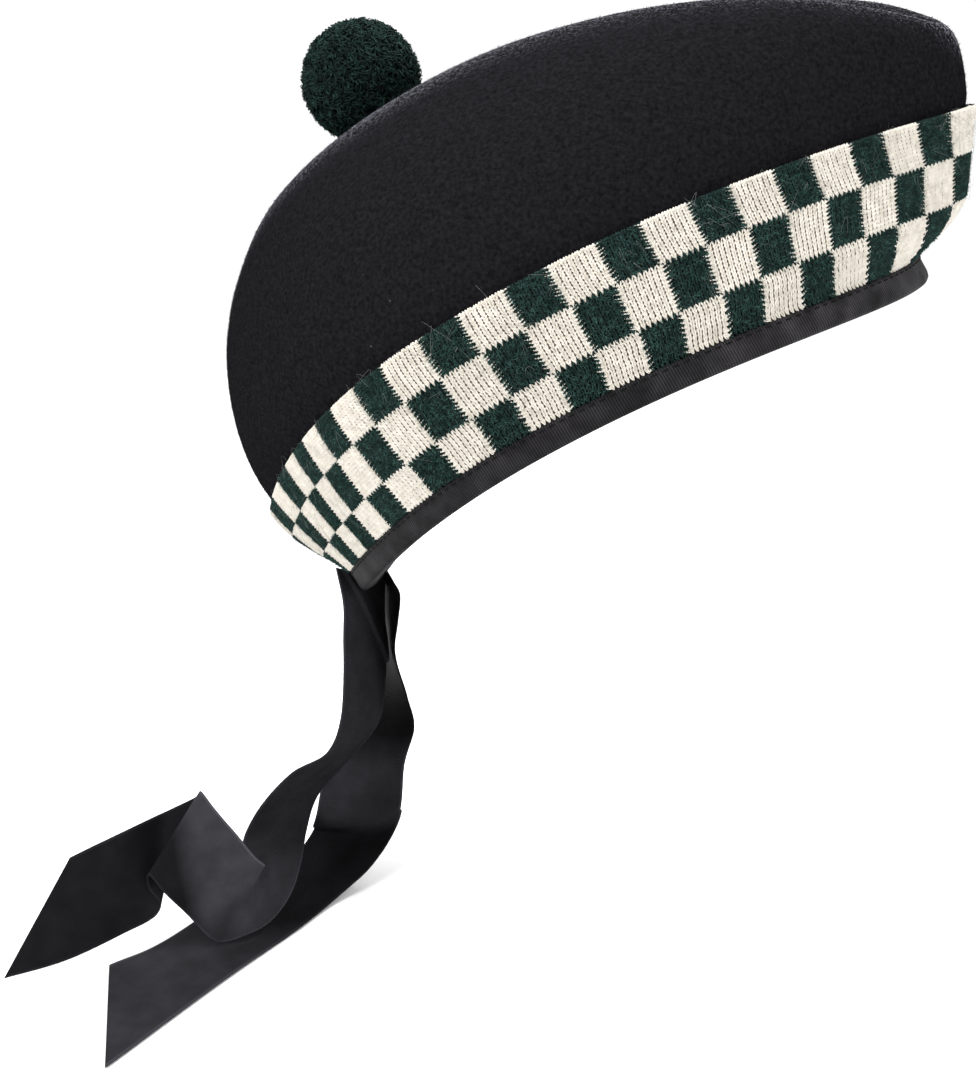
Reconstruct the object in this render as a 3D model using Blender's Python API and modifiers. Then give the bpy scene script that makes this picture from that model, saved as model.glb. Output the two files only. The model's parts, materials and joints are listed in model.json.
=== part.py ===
"""A glengarry: a felt cap with a lengthwise crease, a band knitted in checks, a ribbon bound rim,
a pompom in the crease and two ribbon tails at the back.

Metres, +Z up. The cap is worn with its front raised, so its own rim plane is tilted about the Y axis.
The origin is the middle of the head opening, +X is the front and -Y the wearer's right side.
"""

import math

import bmesh
import bpy
import numpy as np
from mathutils import Matrix, Vector

# Rim, seen along its own plane
RIM_REACH_FRONT = 0.1025
RIM_REACH_REAR = 0.1060
RIM_WIDTH = 0.159
RIM_TILT = math.radians(32.2)
RIM_ARCH = 0.0203  # rise of the rim over the ears
RIM_WIDEST_BEHIND = 0.009  # widest place, behind the middle
RIM_SHARPNESS_FRONT = 1.08
RIM_SHARPNESS_REAR = 1.26
TIP_ROUNDING = 0.42

# Knitted band
BAND_HEIGHT = 0.0296  # measured square to the rim plane
BAND_WALL = 0.0024
BAND_TUCK = 0.0049  # how far it runs down under the binding
BAND_FLARE_FRONT = 0.0190
BAND_FLARE_REAR = 0.0165
BAND_FLARE_SIDE = 0.0090
TIP_OVERHANG = 0.0145  # the front of the band swells out over the binding
TIP_OVERHANG_HEIGHT = 0.0034
BAND_ARCH = 0.0080  # more arch at the top edge than at the rim
BAND_SHARPNESS = 0.75  # how much more pointed its top edge is

# Ribbon binding
BINDING_HEIGHT = 0.0082
BINDING_WALL = 0.0010
BINDING_SPLIT = 0.0020

# Felt crown, heights square to the rim plane
FELT_WALL = 0.0022
CROWN_HEIGHT = 0.1280
RIDGE_REAR = 0.0960  # where the two ridges join, behind the middle
RIDGE_FRONT = 0.1360
RIDGE_SPREAD = 0.0320  # from the crease to each ridge
FOLD_ROLL = 0.0130  # roundness of the ridges
CREASE_REAR = 0.0880
CREASE_FRONT = 0.1220
CROWN_SWELL = 0.0040
FAR_RIDGE_LIFT = 0.0030

# Pompom
TOORIE_DIAMETER = 0.0370
TOORIE_BEHIND = 0.0170
TOORIE_STALK = 0.0060
TOORIE_LOCKS = 46
TOORIE_LOCK_DEPTH = 0.0022

# Ribbon tails
TAIL_WIDTH = 0.0330
TAIL_WALL = 0.0010
TAIL_DROP = 0.1130  # from the back of the rim to the surface the tails reach

GAP = 0.0003
AROUND = 60  # steps round the cap
BAND_ROWS = (0.0, 0.1, 0.2, 0.36, 0.56, 0.78, 0.97)  # shares of its height, shared with the crown inside it
STEPS_A_BEND = 3  # steps from one row of a tail's table to the next
TAIL_LANES = 3

# One row for each place round a ridge, from the back to the front: share of the half turn, ridge
# height, distance from the crease, roll, and height of the crease, as shares of the sizes above
RIDGE_COLUMNS = ("turn", "height", "spread", "roll", "crease")
RIDGE_TABLE = (
    (0.00, 0.780, 0.00, 0.25, 0.810),
    (0.11, 0.808, 0.25, 0.45, 0.845),
    (0.19, 0.872, 0.44, 0.70, 0.880),
    (0.30, 0.964, 0.75, 1.00, 0.915),
    (0.44, 0.990, 0.97, 1.00, 0.900),
    (0.53, 0.957, 1.00, 0.95, 0.848),
    (0.61, 0.892, 0.97, 0.90, 0.789),
    (0.69, 0.804, 0.88, 0.80, 0.719),
    (0.77, 0.700, 0.75, 0.75, 0.656),
    (0.84, 0.605, 0.53, 0.70, 0.594),
    (0.92, 0.522, 0.28, 0.60, 0.540),
    (1.00, 0.484, 0.00, 0.50, 0.510),
)

# One row for each bend of a tail: its middle, from the back of the rim, as shares of the drop, the
# direction across it, and how long the crossing is as a share of the ribbon's width
TAIL_COLUMNS = ("forward", "side", "up", "across_x", "across_y", "across_z", "reach")
NEAR_TAIL_TABLE = (
    (-0.025, -0.040, 0.035, 0.23, 0.86, -0.45, 1.00),
    (-0.005, -0.070, -0.065, 0.16, 0.89, -0.42, 1.00),
    (0.000, -0.085, -0.155, 0.18, 0.91, -0.38, 1.00),
    (0.010, -0.130, -0.250, 0.17, 0.90, -0.40, 1.00),
    (0.010, -0.190, -0.370, 0.13, 0.90, -0.41, 1.00),
    (-0.050, -0.215, -0.480, -0.03, 0.88, -0.48, 1.00),
    (-0.160, -0.235, -0.585, 0.01, 0.77, -0.64, 1.00),
    (-0.220, -0.270, -0.695, 0.22, 0.71, -0.67, 1.00),
    (-0.245, -0.295, -0.775, 0.40, 0.62, -0.67, 0.93),
    (-0.255, -0.330, -0.830, 0.40, 0.46, -0.79, 0.91),
    (-0.260, -0.390, -0.860, 0.24, 0.15, -0.96, 0.84),
    (-0.265, -0.455, -0.860, -0.10, -0.23, -0.97, 0.79),
    (-0.285, -0.495, -0.855, -0.47, -0.25, -0.84, 0.97),
    (-0.295, -0.510, -0.835, -0.47, -0.26, -0.84, 0.97),
    (-0.350, -0.535, -0.745, -0.48, -0.29, -0.83, 0.97),
    (-0.410, -0.570, -0.640, -0.48, -0.33, -0.81, 0.98),
    (-0.435, -0.575, -0.600, -0.48, -0.34, -0.81, 0.98),
    (-0.460, -0.540, -0.650, -0.36, -0.46, -0.81, 1.04),
    (-0.460, -0.540, -0.675, -0.19, -0.46, -0.87, 1.04),
    (-0.495, -0.550, -0.710, 0.02, -0.44, -0.90, 1.01),
    (-0.580, -0.640, -0.740, -0.09, -0.08, -0.99, 1.14),
    (-0.690, -0.700, -0.785, -0.26, -0.14, -0.95, 1.29),
    (-0.800, -0.755, -0.815, -0.45, -0.24, -0.86, 1.43),
)
FAR_TAIL_TABLE = (
    (0.055, 0.000, 0.030, 0.33, -0.92, 0.22, 1.00),
    (0.050, 0.035, -0.040, 0.43, -0.87, 0.25, 1.00),
    (0.050, 0.020, -0.105, 0.41, -0.88, 0.24, 1.00),
    (0.035, 0.060, -0.205, 0.36, -0.91, 0.19, 1.00),
    (0.035, 0.070, -0.390, 0.55, -0.78, 0.30, 1.00),
    (0.000, 0.040, -0.520, 0.88, -0.35, 0.33, 1.00),
    (-0.050, 0.020, -0.660, 0.95, -0.05, 0.32, 1.00),
    (-0.070, -0.030, -0.820, 0.98, 0.02, 0.20, 1.00),
    (-0.145, -0.110, -0.940, 0.99, 0.00, 0.12, 1.00),
    (-0.225, -0.200, -0.985, 0.99, -0.10, 0.02, 1.00),
    (-0.290, -0.350, -0.995, 0.96, -0.27, 0.00, 1.00),
    (-0.375, -0.560, -0.995, 0.92, -0.39, 0.00, 0.97),
    (-0.530, -0.900, -0.995, 0.40, -0.91, 0.00, 1.63),
)


def table_columns(columns, table):
    """The columns of a table by name."""
    return dict(zip(columns, np.array(table).T))


def follow(share, knots, values):
    """A smooth curve through the table's values."""
    slopes = np.gradient(values, knots)
    place = np.clip(np.searchsorted(knots, share) - 1, 0, len(knots) - 2)
    width = knots[place + 1] - knots[place]
    t = (share - knots[place]) / width
    start = values[place] * (2 * t**3 - 3 * t**2 + 1) + slopes[place] * width * (t**3 - 2 * t**2 + t)
    end = values[place + 1] * (3 * t**2 - 2 * t**3) + slopes[place + 1] * width * (t**3 - t**2)
    return start + end


def wall_plan(rise, turn):
    """A point of the band's or the binding's outer face, rise above the seam between them."""
    above = np.clip(rise / BAND_HEIGHT, 0, 1.1)
    swell = np.sin(above * math.pi / 2)
    along = -np.cos(turn)
    across = -np.sin(turn)
    ahead = along > 0
    overhang = TIP_OVERHANG * (1 - np.exp(-(above * BAND_HEIGHT / TIP_OVERHANG_HEIGHT) ** 1.5))
    reach = np.where(
        ahead,
        RIM_REACH_FRONT + RIM_WIDEST_BEHIND + BAND_FLARE_FRONT * above + overhang,
        RIM_REACH_REAR - RIM_WIDEST_BEHIND + BAND_FLARE_REAR * swell,
    )
    sharpness = np.where(ahead, RIM_SHARPNESS_FRONT, RIM_SHARPNESS_REAR) + BAND_SHARPNESS * swell
    half_width = RIM_WIDTH / 2 + BAND_FLARE_SIDE * swell
    rounded = (across**2 + TIP_ROUNDING**2) / (1 + TIP_ROUNDING**2)
    x = -RIM_WIDEST_BEHIND + reach * along
    y = half_width * across * rounded ** ((sharpness - 1) / 2)
    z = BINDING_HEIGHT + rise + (RIM_ARCH + BAND_ARCH * swell) * across**2
    return np.stack([x, y, z], axis=-1)


def wall_point(rise, turn, depth):
    """The same point, moved inwards by a depth square to the face."""
    step = 1e-4
    along = wall_plan(rise, turn + step) - wall_plan(rise, turn - step)
    up = wall_plan(rise + step, turn) - wall_plan(rise - step, turn)
    inward = -np.cross(along, up)
    inward /= np.linalg.norm(inward, axis=-1, keepdims=True)
    return wall_plan(rise, turn) + inward * depth


def bezier(start, start_handle, end_handle, end, steps):
    """Points along a cubic curve, without its first one."""
    t = np.linspace(0, 1, steps + 1)[1:, None, None]
    s = 1 - t
    return s**3 * start + 3 * s**2 * t * start_handle + 3 * s * t**2 * end_handle + t**3 * end


def crown_rows(turn, side_steps=8, inner_steps=4):
    """Rings of points from the rim up to the ridges and down into the crease."""
    ridge = table_columns(RIDGE_COLUMNS, RIDGE_TABLE)
    half_turn = np.where(turn > math.pi, 2 * math.pi - turn, turn)
    share = half_turn / math.pi
    far_side = turn > math.pi
    side = np.where(far_side, 1.0, -1.0)
    along = (1 - np.cos(half_turn)) / 2

    depth = BAND_WALL + GAP
    lowest = -BINDING_HEIGHT + BINDING_WALL + GAP
    rises = [lowest, -BAND_TUCK, *(BAND_HEIGHT * share for share in (*BAND_ROWS, 1.08))]
    rows = [wall_point(rise, turn, depth) for rise in rises]

    base = rows[-1]
    outward = base - wall_point(rises[-1], turn, depth + 0.001)
    outward[:, 2] = 0
    outward /= np.linalg.norm(outward, axis=1, keepdims=True)
    up = np.array([0.0, 0.0, 1.0])

    lift = FAR_RIDGE_LIFT * np.where(far_side, np.sin(np.clip((share - 0.75) / 0.25, 0, 1) * math.pi), 0)
    crest = np.stack([
        -RIDGE_REAR + (RIDGE_REAR + RIDGE_FRONT) * along,
        side * RIDGE_SPREAD * follow(share, ridge["turn"], ridge["spread"]),
        CROWN_HEIGHT * follow(share, ridge["turn"], ridge["height"]) + lift,
    ], axis=-1)
    crease = np.stack([
        -CREASE_REAR + (CREASE_REAR + CREASE_FRONT) * along,
        np.zeros_like(share),
        CROWN_HEIGHT * follow(share, ridge["turn"], ridge["crease"]),
    ], axis=-1)
    roll = FOLD_ROLL * follow(share, ridge["turn"], ridge["roll"])[:, None]
    climb = (crest[:, 2:] - base[:, 2:]) * 0.47
    rows += list(bezier(base, base + up * climb + outward * CROWN_SWELL, crest + outward * roll, crest,
                        side_steps))
    inner = crease - crest
    level = inner * [1, 1, 0]
    length = np.linalg.norm(level, axis=1, keepdims=True)
    into = level / length
    rows += list(bezier(crest, crest + into * np.minimum(roll * 0.6, length * 0.4),
                        crease - level * 0.45 - inner * [0, 0, 0.12], crease, inner_steps))
    return rows


def closed_rings(rows, ring_closed=True, section_closed=True):
    """A mesh from equal rows of points, each row a ring."""
    mesh_builder = bmesh.new()
    grid = [[mesh_builder.verts.new(point) for point in row] for row in rows]
    row_pairs = len(grid) if section_closed else len(grid) - 1
    columns = len(grid[0])
    column_pairs = columns if ring_closed else columns - 1
    for i in range(row_pairs):
        lower, upper = grid[i], grid[(i + 1) % len(grid)]
        for j in range(column_pairs):
            k = (j + 1) % columns
            mesh_builder.faces.new((lower[j], lower[k], upper[k], upper[j]))
    if section_closed and not ring_closed:
        mesh_builder.faces.new([row[0] for row in grid])
        mesh_builder.faces.new([row[-1] for row in reversed(grid)])
    return mesh_builder


def finished(mesh_builder, name, material, parent=None):
    """The named object of a mesh, with its faces turned out."""
    bmesh.ops.remove_doubles(mesh_builder, verts=mesh_builder.verts, dist=1e-6)
    bmesh.ops.recalc_face_normals(mesh_builder, faces=mesh_builder.faces)
    mesh = bpy.data.meshes.new(name)
    mesh_builder.to_mesh(mesh)
    mesh_builder.free()
    mesh.shade_smooth()
    mesh.materials.append(material)
    piece = bpy.data.objects.new(name, mesh)
    piece.parent = parent
    return piece


def thicken(piece, wall, offset, even):
    """Gives an open surface its wall."""
    shell = piece.modifiers.new("wall", "SOLIDIFY")
    shell.thickness = wall
    shell.offset = offset
    shell.use_even_offset = even
    return piece


def surface(name, colour, roughness):
    """A plain finish for one piece."""
    material = bpy.data.materials.new(name)
    material.use_nodes = True
    shader = material.node_tree.nodes["Principled BSDF"]
    shader.inputs["Base Color"].default_value = (*colour, 1.0)
    shader.inputs["Roughness"].default_value = roughness
    shader.inputs["Metallic"].default_value = 0.0
    return material


def make_crown(rim):
    """The felt crown, open at the head."""
    turn = np.arange(AROUND) * 2 * math.pi / AROUND
    builder = closed_rings(crown_rows(turn), section_closed=False)
    crown = finished(builder, "crown", surface("navy_felt", (0.016, 0.014, 0.020), 0.95), rim)
    return thicken(crown, FELT_WALL, -1, even=True)


def make_band(rim):
    """The knitted band, tucked in under the binding's outer leg."""
    turn = np.arange(AROUND) * 2 * math.pi / AROUND
    tuck = BINDING_WALL + GAP
    section = [(-BAND_TUCK, tuck), (-GAP, tuck), (BAND_HEIGHT * 0.04, BAND_WALL * 0.08)]
    section += [(BAND_HEIGHT * share, 0.0) for share in BAND_ROWS[1:]]
    section += [(BAND_HEIGHT * 1.02, BAND_WALL * 0.35), (BAND_HEIGHT * 1.01, BAND_WALL * 0.8)]
    section += [(BAND_HEIGHT * share, BAND_WALL) for share in BAND_ROWS[::-1]]
    section += [(-BAND_TUCK, BAND_WALL)]
    rows = [wall_point(rise, turn, depth) for rise, depth in section]
    return finished(closed_rings(rows), "diced_band", surface("checked_knit", (0.30, 0.30, 0.26), 0.9), rim)


def make_binding(rim):
    """The ribbon folded over the rim, split at the back."""
    start = BINDING_SPLIT / RIM_WIDTH
    turn = np.linspace(start, 2 * math.pi - start, AROUND + 1)
    inner = BAND_WALL + FELT_WALL + 2 * GAP
    inner_leg = inner + BINDING_WALL
    bottom = -BINDING_HEIGHT
    section = [
        (-GAP, BINDING_WALL), (-GAP, 0.0), (bottom * 0.5, 0.0), (bottom * 0.9, 0.0),
        (bottom, BINDING_WALL), (bottom, inner), (bottom * 0.9, inner_leg), (-GAP, inner_leg),
        (-GAP, inner), (bottom + BINDING_WALL, inner), (bottom + BINDING_WALL, BINDING_WALL),
    ]
    rows = [wall_point(rise, turn, depth) for rise, depth in section]
    builder = closed_rings(rows, ring_closed=False)
    return finished(builder, "rim_binding", surface("grosgrain", (0.031, 0.029, 0.031), 0.7), rim)


def lock_centres():
    """Evenly spread directions of the pompom's locks of yarn."""
    golden = math.pi * (3 - math.sqrt(5))
    centres = []
    for i in range(TOORIE_LOCKS):
        z = 1 - 2 * (i + 0.5) / TOORIE_LOCKS
        ring = math.sqrt(1 - z * z)
        centres.append(Vector((ring * math.cos(golden * i), ring * math.sin(golden * i), z)))
    return centres


def make_toorie(rim):
    """The pompom: rounded locks on one ball, with a short stalk down into the crease."""
    ridge = table_columns(RIDGE_COLUMNS, RIDGE_TABLE)
    along = (CREASE_REAR - TOORIE_BEHIND) / (CREASE_REAR + CREASE_FRONT)
    share = np.array([math.acos(1 - 2 * along) / math.pi])
    seat = CROWN_HEIGHT * float(follow(share, ridge["turn"], ridge["crease"])[0]) + 3 * GAP
    radius = TOORIE_DIAMETER / 2
    centre = Vector((-TOORIE_BEHIND, 0, seat + TOORIE_STALK + radius - TOORIE_LOCK_DEPTH))
    centres = lock_centres()
    spacing = math.sqrt(4 * math.pi / TOORIE_LOCKS) / 2

    builder = bmesh.new()
    bmesh.ops.create_icosphere(builder, subdivisions=4, radius=1)
    for vertex in builder.verts:
        direction = vertex.co.normalized()
        nearest = min(direction.angle(lock) for lock in centres)
        reach = radius - TOORIE_LOCK_DEPTH * min(nearest / spacing, 1.3) ** 2
        vertex.co = centre + direction * reach
        if direction.z < -0.97:
            vertex.co.z = seat
    toorie = finished(builder, "toorie", surface("green_yarn", (0.006, 0.050, 0.030), 0.95), rim)
    return toorie


def tail_points(table, lanes):
    """Rows of points across a tail, from the rim to its slanted end."""
    bends = table_columns(TAIL_COLUMNS, table)
    rim_back = Matrix.Rotation(-RIM_TILT, 3, "Y") @ Vector((-RIM_REACH_REAR, 0, 0))
    middles = np.stack([bends["forward"], bends["side"], bends["up"]], axis=-1) * TAIL_DROP + rim_back
    across = np.stack([bends["across_x"], bends["across_y"], bends["across_z"]], axis=-1)
    across /= np.linalg.norm(across, axis=1, keepdims=True)
    halves = across * bends["reach"][:, None] * TAIL_WIDTH / 2
    travel = np.linalg.norm(np.diff(middles, axis=0), axis=1) + np.linalg.norm(np.diff(halves, axis=0), axis=1)
    knots = np.concatenate([[0], np.cumsum(travel)])
    bend_count = len(table) - 1
    places = np.interp(np.arange(STEPS_A_BEND * bend_count + 1) / STEPS_A_BEND, np.arange(bend_count + 1), knots)
    middle = np.stack([follow(places, knots, middles[:, i]) for i in range(3)], axis=-1)
    half = np.stack([follow(places, knots, halves[:, i]) for i in range(3)], axis=-1)
    rows = [[m + h * (2 * lane / lanes - 1) for lane in range(lanes + 1)] for m, h in zip(middle, half)]
    return rows


def make_tail(name, table, material):
    """One ribbon tail."""
    rows = tail_points(table, TAIL_LANES)
    builder = closed_rings(rows, ring_closed=False, section_closed=False)
    return thicken(finished(builder, name, material), TAIL_WALL, 0, even=False)


def main():
    for leftover in list(bpy.data.objects):
        bpy.data.objects.remove(leftover, do_unlink=True)
    collection = bpy.data.collections.new("glengarry")
    bpy.context.scene.collection.children.link(collection)
    rim = bpy.data.objects.new("rim_plane", None)
    rim.rotation_euler = (0, -RIM_TILT, 0)
    ribbon = surface("tail_ribbon", (0.022, 0.021, 0.026), 0.6)
    pieces = [
        make_crown(rim),
        make_band(rim),
        make_binding(rim),
        make_toorie(rim),
        make_tail("near_tail", NEAR_TAIL_TABLE, ribbon),
        make_tail("far_tail", FAR_TAIL_TABLE, ribbon.copy()),
    ]
    for piece in [rim, *pieces]:
        collection.objects.link(piece)


main()
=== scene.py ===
"""The looks of a glengarry: brushed felt, a band of knitted checks in real stitches, a ribbed binding
sewn along its edge, a pompom of cut yarn and two ribbed ribbon tails.

Metres, +Z up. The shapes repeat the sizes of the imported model, which is loaded as the frame.
"""

import json
import math

import bpy
import numpy as np
from mathutils import Matrix, Vector

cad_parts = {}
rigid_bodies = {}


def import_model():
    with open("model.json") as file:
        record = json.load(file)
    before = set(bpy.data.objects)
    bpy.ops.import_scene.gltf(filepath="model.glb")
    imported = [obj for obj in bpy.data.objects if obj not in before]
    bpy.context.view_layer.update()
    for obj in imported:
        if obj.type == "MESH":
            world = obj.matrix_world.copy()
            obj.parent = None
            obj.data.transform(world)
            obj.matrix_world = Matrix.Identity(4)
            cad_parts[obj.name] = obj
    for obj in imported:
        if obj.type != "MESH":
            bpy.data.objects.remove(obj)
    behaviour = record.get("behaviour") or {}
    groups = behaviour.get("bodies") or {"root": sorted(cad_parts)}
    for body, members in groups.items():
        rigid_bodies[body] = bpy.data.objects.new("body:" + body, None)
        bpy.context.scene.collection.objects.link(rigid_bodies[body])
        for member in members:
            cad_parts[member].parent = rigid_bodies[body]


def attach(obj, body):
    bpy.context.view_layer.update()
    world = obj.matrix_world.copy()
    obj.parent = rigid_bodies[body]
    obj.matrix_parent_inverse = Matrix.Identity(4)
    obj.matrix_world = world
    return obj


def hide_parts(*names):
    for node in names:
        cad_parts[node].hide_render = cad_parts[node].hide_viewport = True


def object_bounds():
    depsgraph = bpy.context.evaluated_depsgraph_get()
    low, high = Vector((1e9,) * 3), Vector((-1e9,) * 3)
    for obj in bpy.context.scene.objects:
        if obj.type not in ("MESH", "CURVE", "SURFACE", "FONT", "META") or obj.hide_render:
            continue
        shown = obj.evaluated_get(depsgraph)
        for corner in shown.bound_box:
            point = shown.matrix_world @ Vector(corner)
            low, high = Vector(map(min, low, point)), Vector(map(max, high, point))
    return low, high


# Rim, seen along its own plane
RIM_REACH_FRONT = 0.1025
RIM_REACH_REAR = 0.1060
RIM_WIDTH = 0.159
RIM_TILT = math.radians(32.2)
RIM_ARCH = 0.0203
RIM_WIDEST_BEHIND = 0.009
RIM_SHARPNESS_FRONT = 1.08
RIM_SHARPNESS_REAR = 1.26
TIP_ROUNDING = 0.42

# Knitted band
BAND_HEIGHT = 0.0296  # measured square to the rim plane
BAND_WALL = 0.0024
BAND_TUCK = 0.0049  # how far it runs down under the binding
BAND_FLARE_FRONT = 0.0190
BAND_FLARE_REAR = 0.0165
BAND_FLARE_SIDE = 0.0090
TIP_OVERHANG = 0.0145
TIP_OVERHANG_HEIGHT = 0.0034
BAND_ARCH = 0.0080
BAND_SHARPNESS = 0.75  # how much more pointed its top edge is
BAND_SHOULDER = 0.97  # share of its height where its top edge starts to turn in

# Ribbon binding
BINDING_HEIGHT = 0.0082
BINDING_WALL = 0.0010
BINDING_SPLIT = 0.0020
BINDING_EDGE_TURN = 0.0009  # how far its outer edge runs down behind it
BINDING_EDGE_ROLL = 0.0001  # how far that edge stands proud
BINDING_EDGE_HEIGHT = 0.0012

# Felt crown, heights square to the rim plane
FELT_WALL = 0.0022
CROWN_HEIGHT = 0.1280
CROWN_SWELL = 0.0040
RIDGE_REAR = 0.0960
RIDGE_FRONT = 0.1360
RIDGE_SPREAD = 0.0320
FAR_RIDGE_LIFT = 0.0030
FOLD_ROLL = 0.0130  # roundness of the ridges
CREASE_REAR = 0.0880
CREASE_FRONT = 0.1220

# Pompom
TOORIE_DIAMETER = 0.0370
TOORIE_BEHIND = 0.0170
TOORIE_STALK = 0.0060
TOORIE_LOCK_DEPTH = 0.0022
TOORIE_LOCKS = 46
NECK_RADIUS = 0.0030
NECK_FLARE = 0.0022  # how much wider it is at both ends
NECK_OVERLAP = 0.0020  # how far it runs up into the pompom
YARN_ENDS = 8000
YARN_RADIUS = 0.00034
YARN_SCATTER = 0.03

# The pompom's yarn, in shares of the pompom's radius
CORE_RADIUS = 0.88
YARN_ROOT = 0.78
YARN_REACH = 0.945
YARN_UNEVENNESS = 0.025
YARN_BEND = 0.13
LOCK_SWELL = 0.045  # how much further the yarn reaches in the middle of a lock
LOCK_COSINES = (0.93, 0.99)  # at a lock's edge, and where its swell is full

# One strand of the yarn: places along it, how far it curls one way and aside, and its thickness
STRAND_COLUMNS = ("along", "curl", "aside", "thickness")
STRAND_TABLE = (
    (0.00, 0.00, 0.00, 1.00),
    (0.45, 0.25, 0.50, 1.00),
    (0.80, 0.80, 0.30, 1.00),
    (1.00, 1.00, -0.40, 0.45),
)

# Ribbon tails
TAIL_WIDTH = 0.0330
TAIL_DROP = 0.1130
RIBBON_WALL = 0.0005
RIB_PITCH = 0.0008
SELVAGE = 0.0009  # firmer edge of the ribbon
SELVAGE_HIGHLIGHT = 1.5  # how much paler its painted highlight is
GROOVE_SHADE = 0.65  # how much darker the painted shade between two ribs is at full relief
TAIL_TUCK = 0.0060  # how far the near ribbon's cut top goes on behind the binding
TAIL_FLARE = 0.0020  # how far its shown edge spreads there
FOLD_STEP = 0.00012  # how sharply a layer steps down at a fold

# Folds that run across a ribbon: where each meets the two edges, measured down the ribbon, how far the
# layer past it lies back, or forward where that is minus, and over what length it comes level again. A
# minus length is towards the rim.
NEAR_FOLD_TABLE = (
    (-0.0030, 0.0280, -0.0012, -0.0140),
)
FAR_FOLD_TABLE = (
    (0.1085, 0.0985, 0.0025, 0.0300),
)

# How light a ribbon is along its length: painted light and shade for where it catches the light and where
# it lies in shadow; metres from the rim, and its tone
NEAR_PAINTED_SHADING = ((0.000, 1.65), (0.050, 1.00), (0.100, 1.00), (0.125, 2.70), (0.158, 2.70), (0.172, 0.66))
FAR_PAINTED_SHADING = ((0.000, 0.20), (0.066, 0.20), (0.082, 1.30), (0.101, 1.30), (0.106, 0.30), (0.150, 0.45),
             (0.185, 1.80))

# The same painted light and shade for the binding: metres along the rim, from the back round by the front
BINDING_PAINTED_SHADING = ((0.000, 0.78), (0.170, 0.80), (0.235, 1.45), (0.290, 1.70), (0.345, 1.45), (0.410, 0.80))

GAP = 0.0003
TINY = 1e-30  # keeps a division from failing where a length is nothing

# Steps of the larger meshes
CROWN_COLUMNS = 240
CROWN_HIDDEN_ROWS = 12  # behind the band
CROWN_SIDE_ROWS = 30  # from the band up to the ridges
CROWN_INNER_ROWS = 16  # from the ridges down into the crease
CORE_ROWS = 24
CORE_POLE = 0.02  # angle left open at both its ends
NECK_ROWS = 6
PLAIN_SIDES = 36  # of the core and the neck
KNIT_COLUMNS = 600
KNIT_ROWS = 26
BINDING_COLUMNS = 1600
TAIL_LANES = 48
TAIL_STEPS = 20  # from one row of a tail's table to the next

# Checks and stitches of the band
CHECK_COLUMNS = 50
WALES_A_CHECK = 8
COURSES_A_ROW = (9, 12, 12)  # the lowest row goes on under the binding
ROW_TOPS = (0.277, 0.638, 1.0)  # shares of the band's height
STITCH_RISE = 0.00055  # how far a stitch stands proud
STITCH_ROOT = BAND_WALL * 0.08  # how deep its edges lie
STITCHES_START = -0.0004
STITCHES_END = BAND_HEIGHT * 1.006

# One leg of a stitch: places along it in courses, then its lean and half width in wales, and its relief
LEG_COLUMNS = ("along", "lean", "half_width", "relief")
LEG_TABLE = (
    (-0.35, 0.06, 0.08, 0.10),
    (0.15, 0.15, 0.17, 1.00),
    (0.80, 0.27, 0.21, 1.00),
    (1.15, 0.31, 0.08, 0.10),
)
ACROSS = np.array([-1.0, 0.0, 1.0])  # both edges and the middle of a leg or a drawn loop
LEG_WOBBLE = (0.03, 0.05, 0.10)  # of its lean, its place and its relief
LOWEST_COURSE_TIP = -1.0  # the first course of a check reaches down in points

# One loop drawn out sideways at the edge of a cream check: places out of the check in wales, then its
# half height and climb in courses, and its relief
TOOTH_COLUMNS = ("out", "half_height", "climb", "relief")
TOOTH_TABLE = (
    (-0.60, 0.20, 0.00, 0.40),
    (0.00, 0.36, 0.05, 1.25),
    (0.50, 0.22, 0.20, 0.95),
    (0.95, 0.03, 0.45, 0.20),
)
TOOTH_RISE = 0.35  # its middle, in courses
TOOTH_WOBBLE = (0.16, 0.12)  # of its reach and its rise

# Stray hairs
STRAY_HAIRS = 420
HAIR_RADIUS = 0.000028
HAIR_TAPER = (0.3, 1.0, 1.0, 1.0, 1.0, 0.8, 0.2)
HAIR_TOP = 1.3  # how far up they go, as a share of the band's height

# Fuzz of the green wool
FUZZ_HAIRS = 26000
FUZZ_LENGTH = 0.0010
FUZZ_WIDTH = 0.00006
FUZZ_STAND = (0.6, 0.6, 1.7)  # how far both sides of its root and its tip stand off, in rises of a stitch
SHORTEST_FIBRE = 0.4  # share of its named length that the shortest fibre has, and the longest 1 more

# How far the knit is pulled forward of an even spread, in columns: at each column from the back, one
# value for each level from the binding up to the band's top edge
PULL_LEVELS = (0.0, 0.08, 0.14, 0.277, 0.638, 1.0)
PULL_TABLE = (
    (0, 0.00, 0.00, 0.00, 0.00, 0.00, 0.00),
    (2, 0.50, 0.50, 0.50, 0.50, 0.60, 0.45),
    (4, 0.52, 0.50, 0.50, 0.52, 0.76, 0.80),
    (6, 0.13, 0.07, 0.02, 0.03, 0.30, 0.38),
    (8, 0.02, -0.08, -0.14, -0.17, 0.00, 0.02),
    (13, 0.30, 0.13, 0.01, -0.04, 0.04, -0.07),
    (18, 0.36, 0.08, -0.08, -0.13, 0.04, -0.14),
    (21, 0.40, -0.08, -0.32, -0.40, -0.10, -0.30),
    (24, 0.30, 0.05, -0.25, -0.34, -0.18, -0.30),
    (25, 0.00, 0.00, 0.00, 0.00, 0.00, 0.00),
)

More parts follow.
